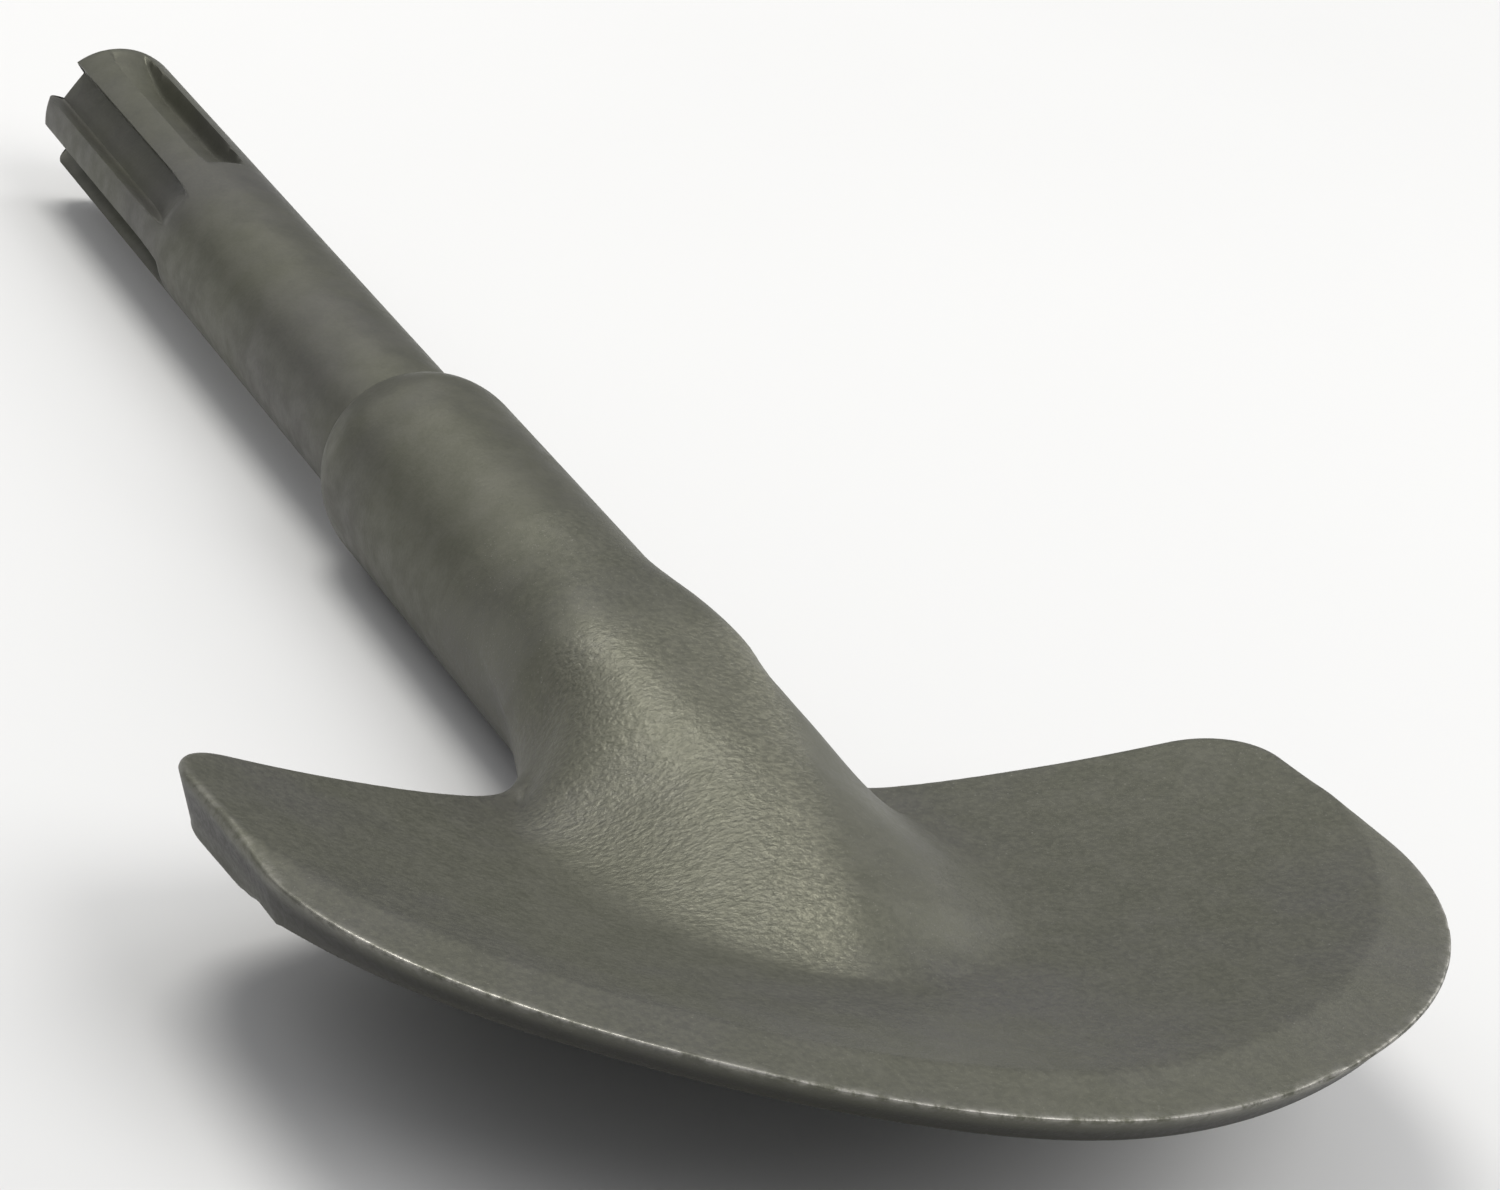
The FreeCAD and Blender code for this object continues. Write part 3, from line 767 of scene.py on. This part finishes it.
# ---- materials ----------------------------------------------------------------------------------
class Nodes:
    """Short calls for building a node tree."""

    def __init__(self, name):
        self.material = bpy.data.materials.new(name)
        self.material.use_nodes = True
        self.tree = self.material.node_tree
        self.tree.nodes.clear()

    def node(self, kind, settings=None, **inputs):
        made = self.tree.nodes.new(kind)
        for key, value in (settings or {}).items():
            setattr(made, key, value)
        for key, value in inputs.items():
            self.plug(made, key.replace("_", " "), value)
        return made

    def plug(self, node, key, value):
        socket = next(s for s in node.inputs if s.name == key and s.enabled)
        if isinstance(value, bpy.types.NodeSocket):
            self.tree.links.new(value, socket)
        else:
            socket.default_value = value

    def noise(self, coordinates, scale, detail=4.0, roughness=0.55):
        made = self.node("ShaderNodeTexNoise", Vector=coordinates, Scale=scale, Detail=detail,
                         Roughness=roughness)
        return made.outputs["Fac"]

    def ramp(self, value, low, high, to_low=0.0, to_high=1.0):
        made = self.node("ShaderNodeMapRange", Value=value)
        made.interpolation_type = "SMOOTHSTEP"
        for key, number in (("From Min", low), ("From Max", high), ("To Min", to_low), ("To Max", to_high)):
            self.plug(made, key, number)
        return made.outputs["Result"]

    def math(self, operation, a, b):
        made = self.node("ShaderNodeMath", {"operation": operation})
        for socket, value in zip(made.inputs, (a, b)):
            if isinstance(value, bpy.types.NodeSocket):
                self.tree.links.new(value, socket)
            else:
                socket.default_value = value
        return made.outputs[0]

    def colour_mix(self, factor, a, b):
        made = self.node("ShaderNodeMix", {"data_type": "RGBA"})
        sockets = [s for s in made.inputs if s.enabled]
        for socket, value in zip(sockets, (factor, a, b)):
            if isinstance(value, bpy.types.NodeSocket):
                self.tree.links.new(value, socket)
            else:
                socket.default_value = value
        return next(s for s in made.outputs if s.enabled)

    def stretch(self, coordinates, factors):
        made = self.node("ShaderNodeVectorMath", {"operation": "MULTIPLY"})
        self.tree.links.new(coordinates, made.inputs[0])
        made.inputs[1].default_value = factors
        return made.outputs[0]

    def attribute(self, name):
        return self.node("ShaderNodeAttribute", {"attribute_name": name}).outputs["Fac"]

    def bump(self, height, distance, strength=1.0, normal=None):
        made = self.node("ShaderNodeBump", Height=height, Distance=distance, Strength=strength)
        if normal is not None:
            self.plug(made, "Normal", normal)
        return made.outputs["Normal"]

    def finish(self, colour, rough, normal, metallic):
        shader = self.node("ShaderNodeBsdfPrincipled", Base_Color=colour, Roughness=rough, Normal=normal)
        shader.inputs["Metallic"].default_value = metallic
        shader.inputs["Specular IOR Level"].default_value = SPECULAR
        output = self.node("ShaderNodeOutputMaterial", Surface=shader.outputs[0])
        output.is_active_output = True
        return self.material


DARK_OLIVE = (0.083, 0.084, 0.063, 1.0)
OLIVE_GREY = (0.098, 0.098, 0.077, 1.0)
PURPLE_GREY = (0.085, 0.082, 0.084, 1.0)
WARM_GREY = (0.15, 0.15, 0.115, 1.0)
# lighter grey of the forged skin, laid on most along the painted highlight band
SKIN_AND_HIGHLIGHT_GREY = (0.21, 0.207, 0.157, 1.0)
BARE_STEEL = (0.34, 0.33, 0.3, 1.0)
UNDER_SHADE_GREY = (0.014, 0.013, 0.012, 1.0)
FLOOR_DARK = (0.64, 0.64, 0.64, 1.0)
FLOOR_LIGHT = (0.66, 0.66, 0.66, 1.0)
METALLIC = 0.6
SPECULAR = 0.4
GLOSSY = 0.44                 # roughness of the blade's smoothest and dullest spots
DULL = 0.54
BAR_GLOSSY = 0.42

# Noise scales, per metre.
CLOUDS = 38.0
MOTTLE = 260.0
BAR_GRAIN = 2300.0
BAR_WEAR_GRAIN = 900.0
BAR_GLOSS_GRAIN = 420.0
LATHE_LINES = (3600.0, 90.0, 90.0)
BLADE_GRAIN = 1500.0
BLADE_FINE_GRAIN = 4200.0
SKIN_GRAIN = 1900.0
SKIN_STRETCH = (1.0, 0.7, 1.0)
WORN_GRAIN = 650.0

# Depths of the bumps, in metres.
LATHE_BUMP = 0.00001
FINE_BUMP = 0.00003
GRAIN_BUMP = 0.00004
SKIN_BUMP = 0.0002
FLOOR_BUMP = 0.00002


def phosphated_base(n, place):
    """Cloudy olive to purple-grey colour of phosphated steel."""
    clouds = n.noise(place, CLOUDS, 3.0)
    mottle = n.noise(place, MOTTLE, 4.0)
    grey = n.colour_mix(n.ramp(mottle, 0.35, 0.7), DARK_OLIVE, OLIVE_GREY)
    return n.colour_mix(n.ramp(clouds, 0.42, 0.72, 0.0, 0.55), grey, PURPLE_GREY)


def bar_steel(name, grain):
    """Turned bar: fine grain with faint lathe lines round the axis."""
    n = Nodes(name)
    place = n.node("ShaderNodeTexCoord").outputs["Object"]
    colour = phosphated_base(n, place)
    fine = n.noise(place, BAR_GRAIN, 3.0)
    turned = n.noise(n.stretch(place, LATHE_LINES), 1.0, 2.0)
    patches = n.ramp(n.noise(place, BAR_WEAR_GRAIN, 4.0), 0.35, 0.65)
    wear = n.math("MULTIPLY", n.attribute("wear"), patches)
    colour = n.colour_mix(n.ramp(fine, 0.3, 0.75, 0.0, 0.15), colour, WARM_GREY)
    colour = n.colour_mix(n.math("MULTIPLY", wear, 0.5), colour, BARE_STEEL)
    rough = n.ramp(n.noise(place, BAR_GLOSS_GRAIN, 4.0), 0.3, 0.7, BAR_GLOSSY, DULL)
    normal = n.bump(turned, LATHE_BUMP, 0.5)
    normal = n.bump(fine, FINE_BUMP * grain, 0.8, normal)
    return n.finish(colour, rough, normal, METALLIC)


def blade_steel():
    """Shot-blasted forging: fine pitted grain, forged skin on the frog with a painted highlight along its
    crest, bare metal on the edge, painted shade underneath.
    """
    n = Nodes("blade_steel")
    place = n.node("ShaderNodeTexCoord").outputs["Object"]
    skin_and_highlight = n.attribute("skin_and_highlight")
    ground = n.attribute("ground")
    colour = phosphated_base(n, place)
    fine = n.noise(place, BLADE_FINE_GRAIN, 3.0, 0.65)
    grain = n.noise(place, BLADE_GRAIN, 3.0, 0.6)
    specks = n.ramp(fine, 0.62, 0.76)
    skin = n.noise(n.stretch(place, SKIN_STRETCH), SKIN_GRAIN, 2.0, 0.5)
    colour = n.colour_mix(n.ramp(grain, 0.3, 0.75, 0.0, 0.35), colour, WARM_GREY)
    colour = n.colour_mix(n.math("MULTIPLY", specks, 0.5), colour, BARE_STEEL)
    # the skin's lighter grey, which with the mask's band paints the highlight along the frog's crest
    skin_and_highlight_weight = n.math("MULTIPLY", skin_and_highlight, n.ramp(skin, 0.4, 0.64, 0.3, 0.8))
    colour = n.colour_mix(skin_and_highlight_weight, colour, SKIN_AND_HIGHLIGHT_GREY)
    colour = n.colour_mix(n.math("MULTIPLY", ground, 0.22), colour, WARM_GREY)
    # painted shade: the underside and the face under the cutting edge are darkened towards near black
    colour = n.colour_mix(n.math("MULTIPLY", n.attribute("painted_under_shade"), 0.9), colour, UNDER_SHADE_GREY)
    patches = n.ramp(n.noise(place, WORN_GRAIN, 5.0, 0.7), 0.38, 0.62)
    worn = n.math("MULTIPLY", n.attribute("wear"), patches)
    colour = n.colour_mix(worn, colour, BARE_STEEL)
    rough = n.ramp(grain, 0.3, 0.7, GLOSSY, DULL)
    rough = n.math("SUBTRACT", rough, n.math("MULTIPLY", worn, 0.18))
    normal = n.bump(skin, SKIN_BUMP, n.ramp(skin_and_highlight, 0.0, 0.6))
    normal = n.bump(grain, GRAIN_BUMP, 0.4, normal)
    normal = n.bump(fine, FINE_BUMP, 0.7, normal)
    return n.finish(colour, rough, normal, METALLIC)


def floor_material():
    n = Nodes("pale_floor")
    place = n.node("ShaderNodeTexCoord").outputs["Object"]
    tone = n.ramp(n.noise(place, 3.0, 2.0), 0.3, 0.7, 0.0, 1.0)
    colour = n.colour_mix(tone, FLOOR_DARK, FLOOR_LIGHT)
    rough = n.ramp(n.noise(place, 60.0, 2.0), 0.3, 0.7, 0.85, 0.95)
    normal = n.bump(n.noise(place, 900.0, 2.0), FLOOR_BUMP, 0.2)
    return n.finish(colour, rough, normal, 0.0)


# ---- floor, light and camera ------------------------------------------------------------------------
FLOOR_HALF = 6.0              # metres, like the rest of this part
FLOOR_CELLS = 24
FLOOR_GAP = 0.0002

# Name, place, diameter, power and colour.
LAMPS = (
    ("key", (-0.33, -0.12, 0.98), 0.5, 6.5, (1.0, 0.985, 0.94)),
    ("fill", (-0.7, -0.6, 0.7), 0.7, 1.6, (1.0, 0.99, 0.96)),
    ("front", (0.75, 0.3, 0.8), 0.8, 5.0, (1.0, 0.99, 0.97)),
    ("right", (-0.15, 0.9, 0.5), 0.6, 2.5, (1.0, 0.99, 0.96)),
)
SKY_COLOUR = (0.96, 0.97, 1.0, 1.0)
SKY = (("From Min", -0.1), ("From Max", 0.85), ("To Min", 0.15), ("To Max", 0.65))

CAMERA_PLACE = (0.4768, -0.1964, 0.1776)
CAMERA_TARGET = (0.1074, 0.0433, -0.0134)
CAMERA_ROLL = math.radians(14.85)
LENS = 100.8
SENSOR = 36.0


def pale_floor():
    """A large pale floor just under the chisel's lowest point."""
    level = cad_low.z - FLOOR_GAP
    steps = np.linspace(-FLOOR_HALF, FLOOR_HALF, FLOOR_CELLS + 1)
    points = [(x, y, level) for x in steps for y in steps]
    faces = []
    for i in range(FLOOR_CELLS):
        for j in range(FLOOR_CELLS):
            k = i * len(steps) + j
            faces.append((k, k + len(steps), k + len(steps) + 1, k + 1))
    floor = make_object("floor", np.array(points) / MM, faces, floor_material())


def area_light(name, position, target, size, power, colour):
    data = bpy.data.lights.new(name, "AREA")
    data.shape = "DISK"
    data.size = size
    data.energy = power
    data.color = colour
    lamp = bpy.data.objects.new(name, data)
    lamp.location = position
    lamp.rotation_mode = "QUATERNION"
    lamp.rotation_quaternion = (Vector(target) - Vector(position)).to_track_quat("-Z", "Y")
    bpy.context.scene.collection.objects.link(lamp)


def studio_light():
    """Soft lamps, and a sky that darkens towards the horizon, which keeps the edges dark."""
    bpy.context.scene.view_settings.view_transform = "Standard"
    middle = (cad_low + cad_high) / 2
    for name, place, size, power, colour in LAMPS:
        area_light(name, place, middle, size, power, colour)
    world = bpy.data.worlds.new("studio")
    world.use_nodes = True
    tree = world.node_tree
    background = tree.nodes["Background"]
    background.inputs[0].default_value = SKY_COLOUR
    direction = tree.nodes.new("ShaderNodeTexCoord")
    split = tree.nodes.new("ShaderNodeSeparateXYZ")
    height = tree.nodes.new("ShaderNodeMapRange")
    height.interpolation_type = "SMOOTHSTEP"
    for key, value in SKY:
        height.inputs[key].default_value = value
    tree.links.new(direction.outputs["Generated"], split.inputs[0])
    tree.links.new(split.outputs["Z"], height.inputs["Value"])
    tree.links.new(height.outputs["Result"], background.inputs[1])
    bpy.context.scene.world = world


def camera():
    """In front of the blade, to its left and above, rolled clockwise."""
    position = Vector(CAMERA_PLACE)
    data = bpy.data.cameras.new("camera")
    data.lens = LENS
    data.sensor_width = SENSOR
    data.clip_start = 0.01
    body = bpy.data.objects.new("camera", data)
    body.location = position
    body.rotation_mode = "QUATERNION"
    aim = (Vector(CAMERA_TARGET) - position).to_track_quat("-Z", "Y")
    body.rotation_quaternion = aim @ Quaternion((0.0, 0.0, 1.0), CAMERA_ROLL)
    bpy.context.scene.collection.objects.link(body)
    bpy.context.scene.camera = body


drive_shank(bar_steel("shank_steel", 0.7))
neck_bar(bar_steel("neck_steel", 1.0))
scoop_blade(blade_steel())
pale_floor()
studio_light()
camera()
